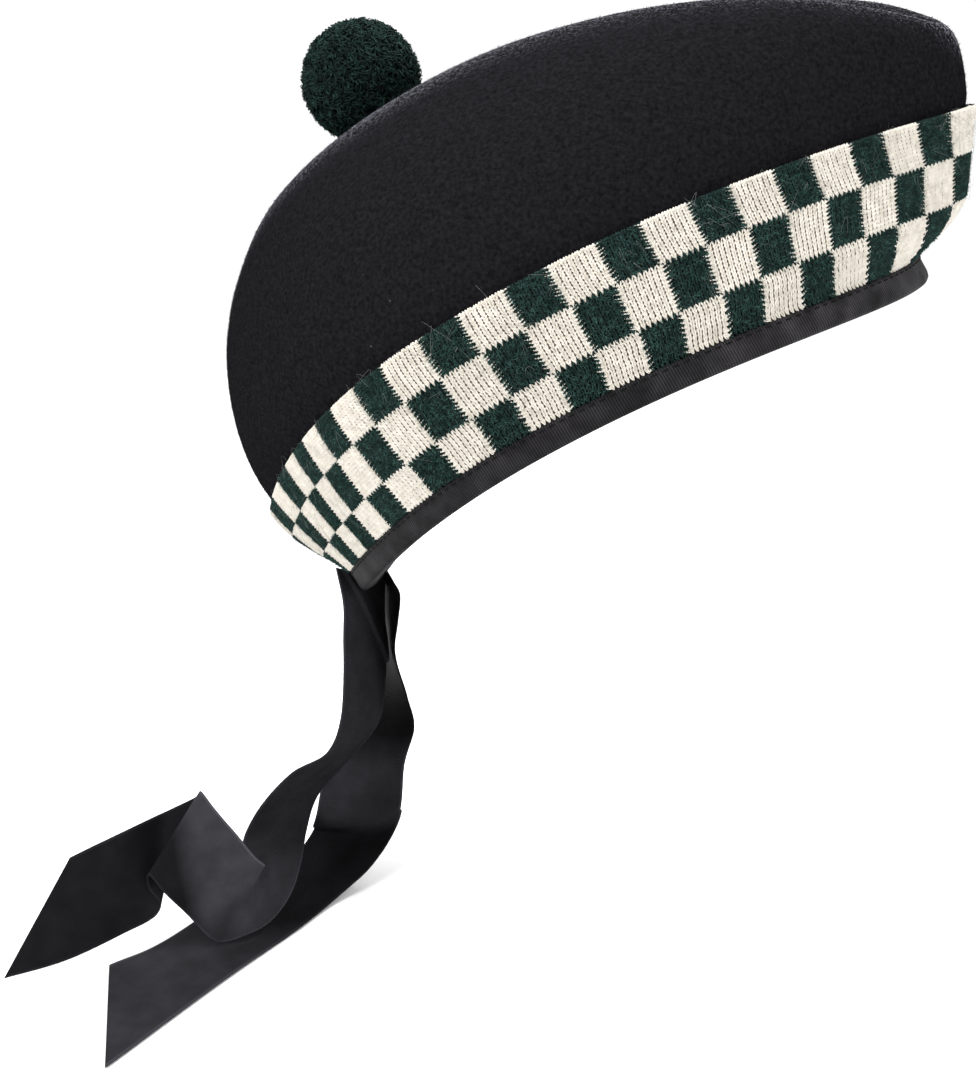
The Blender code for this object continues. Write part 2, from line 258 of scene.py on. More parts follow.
# Binding's sewing
SEWING_PITCH = 0.0031
SEWING_LENGTH = 0.0023
SEWING_BELOW = 0.0013  # how far under the binding's edge it runs
SEWING_PUCKER = 0.00018  # how far it draws that edge
SEWN_ROWS = (1, 2, 3)  # rows of the binding's section that it draws
THREAD_RADIUS = 0.00020
THREAD_DEPTH = 0.00010  # how deep both ends of a stitch lie
THREAD_RISE = 0.00030  # how far its middle stands out from them
THREAD_ARCH = (0.0, 0.8, 1.0, 1.0, 0.8, 0.0)
THREAD_TAPER = (0.2, 0.9, 1.0, 1.0, 0.9, 0.2)

# Felt's nap
NAP_FIBRES = 60000
NAP_SHARE = 0.55  # share of the tried places that take a fibre, more where the mesh is wider
NAP_LENGTH = 0.0011
NAP_WIDTH = 0.00007
NAP_LEAN = 0.85  # how far a fibre leans over, as a share of its length
NAP_STAND = 0.45  # how far it stands up
CREST_PLACE = 0.050  # where the crest of a ridge lies on the felt's own measure, up from the rim

# Painted sheen along the ridges, as where the nap catches the light at a glance: how strong it is, by
# places on that measure
RIDGE_PAINTED_SHEEN = ((0.034, 0.00), (0.045, 0.60), (0.050, 0.95), (0.056, 0.75), (0.063, 0.00))

# Wool by the name of its material: its darkest and its lightest colour, and its sheen
WOOL = {
    "felt_nap": ((0.0045, 0.0043, 0.0052), (0.0165, 0.0160, 0.0195), 0.0),
    "green_knit": ((0.0065, 0.0145, 0.0130), (0.0185, 0.0340, 0.0310), 0.03),
    "cream_knit": ((0.600, 0.560, 0.490), (0.800, 0.760, 0.690), 0.02),
    # The fuzz is lighter than the green yarn, as painted sheen on its hairs
    "green_fuzz": ((0.0130, 0.0380, 0.0310), (0.0520, 0.1150, 0.0960), 0.05),
    "stray_wool": ((0.090, 0.100, 0.095), (0.280, 0.290, 0.270), 0.05),
    "pompom_yarn": ((0.0060, 0.0085, 0.0082), (0.0170, 0.0400, 0.0340), 0.05),
    # The core is darker than the yarn, as painted shade deep among the strands
    "pompom_core": ((0.001, 0.008, 0.005), (0.002, 0.014, 0.010), 0.0),
    "black_thread": ((0.004, 0.004, 0.004), (0.010, 0.010, 0.010), 0.1),
}

# Other colours, the darkest and the lightest where there are two
FELT_COLOURS = ((0.0045, 0.0043, 0.0049), (0.0124, 0.0120, 0.0136))
BINDING_COLOURS = ((0.0060, 0.0056, 0.0062), (0.0340, 0.0322, 0.0350))
RIBBON_COLOURS = ((0.0098, 0.0098, 0.0110), (0.0150, 0.0150, 0.0172))
LINT = (0.070, 0.070, 0.075)
SHEEN_TINT = (0.85, 0.85, 1.00)
# The ground under the stitches is painted shade between them; its green also colours the band's turned edge
GROUND_GREEN = (0.004, 0.009, 0.008)
CREAM_GAP_SHADE = (0.160, 0.130, 0.105)  # painted shade, seen only deep between the cream stitches
EDGE_CREAM = (0.580, 0.550, 0.480)
PALE = (0.955, 0.955, 0.955)
SHADED_PALE = tuple(value * 0.985 for value in PALE)

# Places round a ridge from the back to the front, in shares of the half turn and of the sizes above
RIDGE_COLUMNS = ("turn", "height", "spread", "roll", "crease")
RIDGE_TABLE = (
    (0.00, 0.780, 0.00, 0.25, 0.810),
    (0.11, 0.808, 0.25, 0.45, 0.845),
    (0.19, 0.872, 0.44, 0.70, 0.880),
    (0.30, 0.964, 0.75, 1.00, 0.915),
    (0.44, 0.990, 0.97, 1.00, 0.900),
    (0.53, 0.957, 1.00, 0.95, 0.848),
    (0.61, 0.892, 0.97, 0.90, 0.789),
    (0.69, 0.804, 0.88, 0.80, 0.719),
    (0.77, 0.700, 0.75, 0.75, 0.656),
    (0.84, 0.605, 0.53, 0.70, 0.594),
    (0.92, 0.522, 0.28, 0.60, 0.540),
    (1.00, 0.484, 0.00, 0.50, 0.510),
)

# Bends of a tail: its middle forward, to the far side and up from the back of the rim, in shares of the
# drop, then the direction across it, and how long the crossing is, as a share of the ribbon's width
NEAR_TAIL_TABLE = (
    (-0.025, -0.040, 0.035, 0.23, 0.86, -0.45, 1.00),
    (-0.005, -0.070, -0.065, 0.16, 0.89, -0.42, 1.00),
    (0.000, -0.085, -0.155, 0.18, 0.91, -0.38, 1.00),
    (0.010, -0.130, -0.250, 0.17, 0.90, -0.40, 1.00),
    (0.010, -0.190, -0.370, 0.13, 0.90, -0.41, 1.00),
    (-0.050, -0.215, -0.480, -0.03, 0.88, -0.48, 1.00),
    (-0.160, -0.235, -0.585, 0.01, 0.77, -0.64, 1.00),
    (-0.220, -0.270, -0.695, 0.22, 0.71, -0.67, 1.00),
    (-0.245, -0.295, -0.775, 0.40, 0.62, -0.67, 0.93),
    (-0.255, -0.330, -0.830, 0.40, 0.46, -0.79, 0.91),
    (-0.260, -0.390, -0.860, 0.24, 0.15, -0.96, 0.84),
    (-0.265, -0.455, -0.860, -0.10, -0.23, -0.97, 0.79),
    (-0.285, -0.495, -0.855, -0.47, -0.25, -0.84, 0.97),
    (-0.295, -0.510, -0.835, -0.47, -0.26, -0.84, 0.97),
    (-0.350, -0.535, -0.745, -0.48, -0.29, -0.83, 0.97),
    (-0.410, -0.570, -0.640, -0.48, -0.33, -0.81, 0.98),
    (-0.435, -0.575, -0.600, -0.48, -0.34, -0.81, 0.98),
    (-0.460, -0.540, -0.650, -0.36, -0.46, -0.81, 1.04),
    (-0.460, -0.540, -0.675, -0.19, -0.46, -0.87, 1.04),
    (-0.495, -0.550, -0.710, 0.02, -0.44, -0.90, 1.01),
    (-0.580, -0.640, -0.740, -0.09, -0.08, -0.99, 1.14),
    (-0.690, -0.700, -0.785, -0.26, -0.14, -0.95, 1.29),
    (-0.800, -0.755, -0.815, -0.45, -0.24, -0.86, 1.43),
)
FAR_TAIL_TABLE = (
    (0.055, 0.000, 0.030, 0.33, -0.92, 0.22, 1.00),
    (0.050, 0.035, -0.040, 0.43, -0.87, 0.25, 1.00),
    (0.050, 0.020, -0.105, 0.41, -0.88, 0.24, 1.00),
    (0.035, 0.060, -0.205, 0.36, -0.91, 0.19, 1.00),
    (0.035, 0.070, -0.390, 0.55, -0.78, 0.30, 1.00),
    (0.000, 0.040, -0.520, 0.88, -0.35, 0.33, 1.00),
    (-0.050, 0.020, -0.660, 0.95, -0.05, 0.32, 1.00),
    (-0.070, -0.030, -0.820, 0.98, 0.02, 0.20, 1.00),
    (-0.145, -0.110, -0.940, 0.99, 0.00, 0.12, 1.00),
    (-0.225, -0.200, -0.985, 0.99, -0.10, 0.02, 1.00),
    (-0.290, -0.350, -0.995, 0.96, -0.27, 0.00, 1.00),
    (-0.375, -0.560, -0.995, 0.92, -0.39, 0.00, 0.97),
    (-0.530, -0.900, -0.995, 0.40, -0.91, 0.00, 1.63),
)

# Photograph's camera
CAMERA_PLACE = (0.0538, -0.4826, 0.1275)
CAMERA_TARGET = (-0.0488, 0.0, -0.0369)
CAMERA_LENS = 52.0

# Studio
FLOOR_GAP = 0.0002
FLOOR_REACH = 40.0
SKY_STRENGTH = 1.06
LAMPS = (  # name, place, target, size across and power
    ("key", (-0.45, -0.65, 0.95), (-0.02, 0, 0.02), 0.6, 13.0),
    ("over the ridges", (-0.02, 0.20, 0.50), (-0.01, 0, 0.10), 0.35, 4.5),
    ("front", (0.95, -0.35, 0.35), (0, 0, 0.02), 0.6, 1.5),
)


# Shapes

def table_columns(columns, table):
    """The columns of a table by name."""
    return dict(zip(columns, np.array(table).T))


def follow(share, knots, values):
    """A smooth curve through the table's values."""
    slopes = np.gradient(values, knots)
    place = np.clip(np.searchsorted(knots, share) - 1, 0, len(knots) - 2)
    width = knots[place + 1] - knots[place]
    t = (share - knots[place]) / width
    start = values[place] * (2 * t**3 - 3 * t**2 + 1) + slopes[place] * width * (t**3 - 2 * t**2 + t)
    end = values[place + 1] * (3 * t**2 - 2 * t**3) + slopes[place + 1] * width * (t**3 - t**2)
    return start + end


def wall_plan(rise, turn):
    """A point of the band's or the binding's outer face, rise above the seam between them."""
    above = np.clip(rise / BAND_HEIGHT, 0, 1.1)
    swell = np.sin(above * math.pi / 2)
    along = -np.cos(turn)
    across = -np.sin(turn)
    ahead = along > 0
    overhang = TIP_OVERHANG * (1 - np.exp(-(above * BAND_HEIGHT / TIP_OVERHANG_HEIGHT) ** 1.5))
    reach = np.where(
        ahead,
        RIM_REACH_FRONT + RIM_WIDEST_BEHIND + BAND_FLARE_FRONT * above + overhang,
        RIM_REACH_REAR - RIM_WIDEST_BEHIND + BAND_FLARE_REAR * swell,
    )
    sharpness = np.where(ahead, RIM_SHARPNESS_FRONT, RIM_SHARPNESS_REAR) + BAND_SHARPNESS * swell
    half_width = RIM_WIDTH / 2 + BAND_FLARE_SIDE * swell
    rounded = (across**2 + TIP_ROUNDING**2) / (1 + TIP_ROUNDING**2)
    x = -RIM_WIDEST_BEHIND + reach * along
    y = half_width * across * rounded ** ((sharpness - 1) / 2)
    z = BINDING_HEIGHT + rise + (RIM_ARCH + BAND_ARCH * swell) * across**2
    return np.stack([x, y, z], axis=-1)


def unit(vectors):
    """Vectors scaled to a length of one."""
    return vectors / (np.linalg.norm(vectors, axis=-1, keepdims=True) + TINY)


def strides(points):
    """Distances to each row of points from the one before it."""
    return np.linalg.norm(np.diff(points, axis=0, prepend=points[:1]), axis=-1)


def wall_point(rise, turn, depth):
    """The same point, moved inwards by a depth square to the face."""
    step = 1e-4
    along = wall_plan(rise, turn + step) - wall_plan(rise, turn - step)
    up = wall_plan(rise + step, turn) - wall_plan(rise - step, turn)
    return wall_plan(rise, turn) + unit(-np.cross(along, up)) * np.expand_dims(depth, -1)


def bezier(start, start_handle, end_handle, end, steps):
    """Points along a cubic curve, without its first one."""
    t = np.linspace(0, 1, steps + 1)[1:, None, None]
    s = 1 - t
    return s**3 * start + 3 * s**2 * t * start_handle + 3 * s * t**2 * end_handle + t**3 * end


def crown_rows(turn):
    """Rings of points from the rim up to the ridges and down into the crease."""
    ridge = table_columns(RIDGE_COLUMNS, RIDGE_TABLE)
    far_side = turn > math.pi
    half_turn = np.where(far_side, 2 * math.pi - turn, turn)
    share = half_turn / math.pi
    side = np.where(far_side, 1.0, -1.0)
    along = (1 - np.cos(half_turn)) / 2

    depth = np.full_like(turn, BAND_WALL + GAP)
    lowest = -BINDING_HEIGHT + BINDING_WALL + GAP
    behind_band = np.linspace(0, BAND_HEIGHT * BAND_SHOULDER, CROWN_HIDDEN_ROWS)
    rises = [lowest, -BAND_TUCK, *behind_band, BAND_HEIGHT * 1.08]
    rows = [wall_point(rise, turn, depth) for rise in rises]

    base = rows[-1]
    outward = unit((base - wall_point(rises[-1], turn, depth + 0.001)) * [1, 1, 0])

    lift = FAR_RIDGE_LIFT * np.where(far_side, np.sin(np.clip((share - 0.75) / 0.25, 0, 1) * math.pi), 0)
    crest = np.stack([
        -RIDGE_REAR + (RIDGE_REAR + RIDGE_FRONT) * along,
        side * RIDGE_SPREAD * follow(share, ridge["turn"], ridge["spread"]),
        CROWN_HEIGHT * follow(share, ridge["turn"], ridge["height"]) + lift,
    ], axis=-1)
    crease = np.stack([
        -CREASE_REAR + (CREASE_REAR + CREASE_FRONT) * along,
        np.zeros_like(share),
        CROWN_HEIGHT * follow(share, ridge["turn"], ridge["crease"]),
    ], axis=-1)
    roll = FOLD_ROLL * follow(share, ridge["turn"], ridge["roll"])[:, None]
    climb = (crest[:, 2:] - base[:, 2:]) * 0.47
    rows += list(bezier(base, base + climb * [0, 0, 1] + outward * CROWN_SWELL, crest + outward * roll,
                        crest, CROWN_SIDE_ROWS))
    inner = crease - crest
    level = inner * [1, 1, 0]
    length = np.linalg.norm(level, axis=1, keepdims=True)
    rows += list(bezier(crest, crest + level / length * np.minimum(roll * 0.6, length * 0.4),
                        crease - inner * [0.45, 0.45, 0.12], crease, CROWN_INNER_ROWS))
    return np.array(rows)


def on_the_head(points):
    """Cap points turned from the rim's plane to the way that the cap is worn."""
    turn = np.array(Matrix.Rotation(-RIM_TILT, 3, "Y"))
    return points @ turn.T


class RingMeasure:
    """Finds the turn of a share of the ring's length, at any rise of the band or binding."""

    def __init__(self, lowest, highest, levels=25, samples=1500, steps=800):
        self.rises = np.linspace(lowest, highest, levels)
        self.shares = np.linspace(0, 1, steps + 1)
        turns = np.linspace(0, math.pi, samples)
        walks = [strides(wall_plan(rise, turns)).cumsum() for rise in self.rises]
        self.table = np.array([np.interp(self.shares * walk[-1], walk, turns) for walk in walks])
        self.lengths = [2 * walk[-1] for walk in walks]

    def length(self, rise):
        """Length of the whole ring."""
        return np.interp(rise, self.rises, self.lengths)

    def turn(self, share, rise):
        """The turn of a share of the whole ring, counted from the back along the near side."""
        share = np.mod(share, 1.0)
        half = np.where(share <= 0.5, share * 2, 2 - share * 2)
        column = half * (len(self.shares) - 1)
        left = np.clip(column.astype(int), 0, len(self.shares) - 2)
        row = (rise - self.rises[0]) / (self.rises[1] - self.rises[0])
        lower = np.clip(row.astype(int), 0, len(self.rises) - 2)
        a = column - left
        b = np.clip(row - lower, 0, 1)
        low = self.table[lower, left] * (1 - a) + self.table[lower, left + 1] * a
        high = self.table[lower + 1, left] * (1 - a) + self.table[lower + 1, left + 1] * a
        turn = low * (1 - b) + high * b
        return np.where(share <= 0.5, turn, 2 * math.pi - turn)


def pulled(column, rise):
    """Share of the ring where a column of the knit lies at a rise, near side first."""
    pull = np.array(PULL_TABLE)
    column = np.mod(column, CHECK_COLUMNS)
    half = np.where(column <= CHECK_COLUMNS / 2, column, CHECK_COLUMNS - column)
    level = np.interp(rise / BAND_HEIGHT, PULL_LEVELS, range(len(PULL_LEVELS)))
    lower = np.minimum(level.astype(int), len(PULL_LEVELS) - 2)
    moved = [follow(half, pull[:, 0], pull[:, 1 + i]) for i in range(len(PULL_LEVELS))]
    low = np.choose(lower, moved[:-1])
    high = np.choose(lower, moved[1:])
    share = (half + low + (high - low) * (level - lower)) / CHECK_COLUMNS
    return np.where(column <= CHECK_COLUMNS / 2, share, 1 - share)


# Meshes

def make_piece(name, points, faces, material, uv=None):
    """A smooth mesh object, with the places of its vertices on it for its textures."""
    mesh = bpy.data.meshes.new(name)
    points = np.asarray(points, float).reshape(-1, 3)
    mesh.from_pydata(points.tolist(), [], np.asarray(faces).tolist())
    if uv is not None:
        corner = np.zeros(len(mesh.loops), int)
        mesh.loops.foreach_get("vertex_index", corner)
        layer = mesh.uv_layers.new(name="UVMap")
        both = np.stack(np.broadcast_arrays(*uv), axis=-1).reshape(-1, 2)
        layer.data.foreach_set("uv", both.astype(np.float32)[corner].ravel())
    mesh.shade_smooth()
    mesh.materials.append(material)
    mesh.update()
    piece = bpy.data.objects.new(name, mesh)
    bpy.context.scene.collection.objects.link(piece)
    return piece


def grid_faces(rows, columns, ring=False):
    """Quads of a grid of points, its last column joined to its first in a ring."""
    i, j = np.meshgrid(np.arange(rows - 1), np.arange(columns if ring else columns - 1), indexing="ij")
    k = (j + 1) % columns
    return np.stack([i * columns + j, i * columns + k, (i + 1) * columns + k, (i + 1) * columns + j],
                    axis=-1).reshape(-1, 4)


def make_sheet(name, rows, material, uv=None, ring=False):
    """A piece through rows of points, each row closed to a ring if asked."""
    return make_piece(name, rows, grid_faces(*rows.shape[:2], ring), material, uv)


def repeated(faces, step, count):
    """The same faces for each of many equal groups of points."""
    return (faces[None] + step * np.arange(count)[:, None, None]).reshape(-1, faces.shape[-1])


def tubes(paths, radii, sides):
    """Points and faces of many thin tubes, closed at both ends by their own narrowing."""
    along = unit(np.gradient(paths, axis=1))
    upright = np.abs(along[:, :1, 2:]) >= 0.9
    helper = np.where(upright, [1.0, 0.0, 0.0], [0.0, 0.0, 1.0])
    first = unit(np.cross(along, np.broadcast_to(helper, along.shape)))
    second = np.cross(along, first)
    angle = np.arange(sides) * 2 * math.pi / sides
    ring = first[:, :, None] * np.cos(angle)[:, None] + second[:, :, None] * np.sin(angle)[:, None]
    points = paths[:, :, None] + ring * radii[:, :, None, None]
    faces = repeated(grid_faces(paths.shape[1], sides, ring=True), paths.shape[1] * sides, len(paths))
    return points, faces


def turned_rings(axis_x, radii, heights):
    """Rings of points round the pompom's own axis."""
    around = np.arange(PLAIN_SIDES) * 2 * math.pi / PLAIN_SIDES
    x = axis_x + radii[:, None] * np.cos(around)
    y = radii[:, None] * np.sin(around)
    return on_the_head(np.stack(np.broadcast_arrays(x, y, heights[:, None]), axis=-1))


def square_to(directions, random):
    """A random direction square to each of many directions."""
    found = random.normal(size=directions.shape)
    return unit(found - directions * (found * directions).sum(1, keepdims=True))


def solidified(piece, wall, offset, even=True):
    """Gives a surface its wall."""
    shell = piece.modifiers.new("wall", "SOLIDIFY")
    shell.thickness = wall
    shell.offset = offset
    shell.use_even_offset = even
    return piece


# Materials

def shader_of(tree):
    """The shader in a material's node tree."""
    return tree.nodes["Principled BSDF"]


def set_inputs(node, **inputs):
    """Sets some of a node's inputs by name."""
    for name, value in inputs.items():
        node.inputs[name.replace("_", " ")].default_value = value


def new_material(name, colour, roughness, specular=0.08, sheen=0.0, sheen_tint=(1, 1, 1),
                 sheen_roughness=0.5):
    """A principled material with its even values on its own sockets."""
    material = bpy.data.materials.new(name)
    material.use_nodes = True
    set_inputs(shader_of(material.node_tree), Base_Color=(*colour, 1), Roughness=roughness,
               Specular_IOR_Level=specular, Sheen_Weight=sheen, Sheen_Tint=(*sheen_tint, 1),
               Sheen_Roughness=sheen_roughness)
    return material


def add_node(tree, kind, **inputs):
    """A node with some of its inputs set."""
    node = tree.nodes.new(kind)
    set_inputs(node, **inputs)
    return node


def link(source, output, target, socket):
    """Joins two nodes."""
    source.id_data.links.new(source.outputs[output], target.inputs[socket])


def placed_node(tree, kind, coordinates, **inputs):
    """A node that reads the piece's own metres, or the places on it."""
    place = add_node(tree, "ShaderNodeTexCoord")
    node = add_node(tree, kind, **inputs)
    link(place, coordinates, node, "Vector")
    return node


def noise(tree, scale, detail):
    """A noise in the piece's own metres."""
    return placed_node(tree, "ShaderNodeTexNoise", "Object", Scale=scale, Detail=detail)


def product(first, first_output, second, second_output):
    """Two nodes' values, multiplied."""
    multiplied = add_node(first.id_data, "ShaderNodeMath")
    multiplied.operation = "MULTIPLY"
    link(first, first_output, multiplied, 0)
    link(second, second_output, multiplied, 1)
    return multiplied


def colour_ramp(source, output, stops):
    """A ramp from a value to colours."""
    ramp = add_node(source.id_data, "ShaderNodeValToRGB")
    elements = ramp.color_ramp.elements
    while len(elements) < len(stops):
        elements.new(0.5)
    for element, (position, colour) in zip(elements, stops):
        element.position = position
        element.color = (*colour, 1)
    link(source, output, ramp, "Fac")
    return ramp


def value_ramp(source, output, stops):
    """A ramp from a value to plain tones."""
    return colour_ramp(source, output, [(place, (tone,) * 3) for place, tone in stops])


def two_tones(source, output, colours, dark_at=0.30, light_at=0.72):
    """A ramp from a value to a dark and a light colour."""
    dark, light = colours
    return colour_ramp(source, output, ((dark_at, dark), (light_at, light)))


def colour_sockets(sockets):
    """The colours among a node's sockets."""
    return [socket for socket in sockets if socket.type == "RGBA"]


def mixed_colours(factor, output, low, high):
    """A node's colour turned to an even colour where a factor says so."""
    mixed = add_node(factor.id_data, "ShaderNodeMix")
    mixed.data_type = "RGBA"
    link(factor, output, mixed, "Factor")
    first, second = colour_sockets(mixed.inputs)
    factor.id_data.links.new(low.outputs["Color"], first)
    second.default_value = (*high, 1)
    return mixed


def set_colour(source, painted_shading=None):
    """Uses a node's colour as the base colour, times painted light and shade where they are given."""
    tree = source.id_data
    colour = colour_sockets(source.outputs)[0]
    if painted_shading is not None:
        shaded_colour = add_node(tree, "ShaderNodeVectorMath")
        shaded_colour.operation = "MULTIPLY"
        link(painted_shading, "Color", shaded_colour, 0)
        tree.links.new(colour, shaded_colour.inputs[1])
        colour = shaded_colour.outputs["Vector"]
    tree.links.new(colour, shader_of(tree).inputs["Base Color"])


def set_bump(source, distance, strength, below=None):
    """Adds relief from a node's factor, on top of other relief."""
    bump = add_node(source.id_data, "ShaderNodeBump", Distance=distance, Strength=strength)
    link(source, "Fac", bump, "Height")
    if below is not None:
        link(below, "Normal", bump, "Normal")
    link(bump, "Normal", shader_of(bump.id_data), "Normal")
    return bump


def felt():
    """Brushed wool felt, nearly black, with pale flecks of lint and a sheen painted along the ridges."""
    material = new_material("felt", FELT_COLOURS[0], roughness=1.0, specular=0.0, sheen_tint=SHEEN_TINT,
                            sheen_roughness=0.3)
    tree = material.node_tree
    matted = two_tones(noise(tree, scale=900, detail=6), "Fac", FELT_COLOURS)
    fleck = placed_node(tree, "ShaderNodeTexVoronoi", "Object", Scale=330)
    near = value_ramp(fleck, "Distance", ((0.05, 1), (0.14, 0)))
    chance = add_node(tree, "ShaderNodeSeparateColor")
    link(fleck, "Color", chance, "Color")
    rare = value_ramp(chance, "Red", ((0.965, 0), (0.995, 1)))
    lint = product(near, "Color", rare, "Color")
    set_colour(mixed_colours(lint, "Value", matted, LINT))

    # Painted sheen, masked to the ridges and speckled
    climb = placed_node(tree, "ShaderNodeSeparateXYZ", "UV")
    on_ridge = value_ramp(climb, "Y", RIDGE_PAINTED_SHEEN)
    standing = value_ramp(noise(tree, scale=1300, detail=2), "Fac", ((0.45, 0), (0.60, 1)))
    painted_ridge_sheen = product(on_ridge, "Color", standing, "Color")
    link(painted_ridge_sheen, "Value", shader_of(tree), "Sheen Weight")

    coarse = set_bump(noise(tree, scale=420, detail=4), distance=0.0012, strength=0.5)
    set_bump(noise(tree, scale=1900, detail=3), distance=0.0004, strength=0.6, below=coarse)
    return material


def yarn(name):
    """Wool yarn with uneven tone and a hairy surface."""
    dark, light, sheen = WOOL[name]
    material = new_material(name, dark, roughness=0.9, specular=0.05, sheen=sheen, sheen_tint=light,
                            sheen_roughness=0.4)
    tree = material.node_tree
    set_colour(two_tones(noise(tree, scale=450, detail=4), "Fac", (dark, light)))
    set_bump(noise(tree, scale=2600, detail=2), distance=0.00025, strength=0.6)
    return material


def checked_wool(name, pale):
    """Plain wool in green and pale checks; the sheet under the stitches has them in darker colours, as
    painted shade between the stitches.
    """
    material = new_material(name, pale, roughness=0.95)
    tree = material.node_tree
    checks = placed_node(tree, "ShaderNodeTexChecker", "UV", Scale=1, Color1=(*GROUND_GREEN, 1),
                         Color2=(*pale, 1))
    set_colour(checks)
    set_bump(noise(tree, scale=1500, detail=3), distance=0.0004, strength=0.6)
    return material


def painted_edge_highlights(tree, cloth, on_ribbon, light):
    """A painted highlight along both edges of a ribbon: its colour turned paler there."""
    from_edge = add_node(tree, "ShaderNodeMath")
    from_edge.operation = "PINGPONG"
    link(on_ribbon, "Y", from_edge, 0)
    from_edge.inputs[1].default_value = TAIL_WIDTH / 2
    edge = add_node(tree, "ShaderNodeMapRange", From_Min=SELVAGE, From_Max=SELVAGE * 0.6)
    link(from_edge, "Value", edge, "Value")
    return mixed_colours(edge, "Result", cloth, [value * SELVAGE_HIGHLIGHT for value in light])


def grosgrain(name, colours, painted_shading, roughness, specular, relief, edge_highlights=True):
    """Ribbon with fine ribs across it and painted shade between them, painted light and shade along its
    length, and painted highlights on its edges if they show.
    """
    dark, light = colours
    material = new_material(name, dark, roughness, specular)
    tree = material.node_tree
    ribs = placed_node(tree, "ShaderNodeTexWave", "UV", Scale=math.pi / (10 * RIB_PITCH))
    ribs.wave_profile = "SIN"
    ribs.bands_direction = "X"
    # Painted shade between the ribs, times a random mottle of the cloth
    groove_shade = value_ramp(ribs, "Fac", ((0.10, 1 - relief * GROOVE_SHADE), (0.60, 1)))
    mottle_and_groove_shade = product(noise(tree, scale=140, detail=5), "Fac", groove_shade, "Color")
    cloth = two_tones(mottle_and_groove_shade, "Value", colours, dark_at=0.22, light_at=0.66)
    on_ribbon = placed_node(tree, "ShaderNodeSeparateXYZ", "UV")
    # Painted highlights along both edges, where they catch the light
    if edge_highlights:
        cloth = painted_edge_highlights(tree, cloth, on_ribbon, light)
    # Painted light and shade along the ribbon's length
    set_colour(cloth, value_ramp(on_ribbon, "X", painted_shading))
    ground = set_bump(noise(tree, scale=2500, detail=2), distance=0.00015, strength=0.4)
    set_bump(ribs, distance=0.00020, strength=relief, below=ground)
    return material


# Pieces

def make_crown():
    """The felt crown with its wall, and the short nap that stands from it."""
    turn = np.arange(CROWN_COLUMNS) * 2 * math.pi / CROWN_COLUMNS
    rows = on_the_head(crown_rows(turn))
    climbed = strides(rows).cumsum(axis=0)
    climbed += CREST_PLACE - climbed[-1 - CROWN_INNER_ROWS]
    uv = (turn / (2 * math.pi), climbed)
    crown = solidified(make_sheet("felt_crown", rows, felt(), uv, ring=True), FELT_WALL, -1)
    return [crown, make_nap(rows)]


def make_nap(rows):
    """Fibres on the felt, from just under the band's top edge."""
    random = np.random.default_rng(3)
    tries = NAP_FIBRES * 2
    i = random.integers(CROWN_HIDDEN_ROWS + 1, len(rows) - 1, tries)
    j = random.integers(0, CROWN_COLUMNS, tries)
    k = (j + 1) % CROWN_COLUMNS
    a, b = random.random((2, tries, 1))
    low = rows[i, j] * (1 - a) + rows[i, k] * a
    high = rows[i + 1, j] * (1 - a) + rows[i + 1, k] * a
    root = low * (1 - b) + high * b
    normal = np.cross(rows[i, k] - rows[i, j], rows[i + 1, j] - rows[i, j])
    area = np.linalg.norm(normal, axis=1)
    chosen = np.flatnonzero(random.random(tries) < area / area.mean() * NAP_SHARE)[:NAP_FIBRES]
    root = root[chosen]
    normal = unit(normal[chosen])

    lean = square_to(normal, random)
    length = NAP_LENGTH * (SHORTEST_FIBRE + random.random((len(root), 1)))
    tip = root + lean * length * NAP_LEAN + normal * length * NAP_STAND
    sideways = np.cross(lean, normal) * NAP_WIDTH
    points = np.stack([root - sideways, root + sideways, tip], axis=1)
    return make_piece("felt_nap", points, fibre_faces(points), yarn("felt_nap"))


def fibre_faces(points):
    """One triangle for each fibre."""
    return np.arange(len(points) * 3).reshape(-1, 3)


def check_is_green(wale, row):
    """Whether a stitch belongs to a green check."""
    return ((wale // WALES_A_CHECK) % CHECK_COLUMNS + row + 1) % 2 == 0


def band_courses():
    """Rise and height of each course of stitches, and the row of checks that it is in."""
    row = np.repeat(range(len(ROW_TOPS)), COURSES_A_ROW)
    height = np.diff(ROW_TOPS, prepend=0)[row] * BAND_HEIGHT / np.array(COURSES_A_ROW)[row]
    return height.cumsum() - height, height, row


def band_point(measure, column, rise, depth, highest=STITCHES_END):
    """A point of the band by its column and rise in the knit."""
    column, rise, depth = np.broadcast_arrays(column, rise, depth)
    rise = np.clip(rise, STITCHES_START, highest)
    level = np.minimum(rise, BAND_HEIGHT)
    return wall_point(rise, measure.turn(pulled(column, level), level), depth)


def knit_sheet(measure, name, rises, depths, pale):
    """A ring of plain knit through some rises and depths, in green and pale checks."""
    column = np.arange(KNIT_COLUMNS) * CHECK_COLUMNS / KNIT_COLUMNS
    column, rise, depth = np.broadcast_arrays(column, *np.array([rises, depths])[:, :, None])
    points = wall_point(rise, measure.turn(pulled(column, rise), rise), depth)
    # Rows of checks by rise: a little of the first lies under the binding, and a fourth never starts
    check_row = np.interp(rise / BAND_HEIGHT, [-0.2, 0, *ROW_TOPS], [0.1, 0.2, 1.0, 2.0, 2.99])
    return make_sheet(name, on_the_head(points), checked_wool(name, pale), (column, check_row), ring=True)


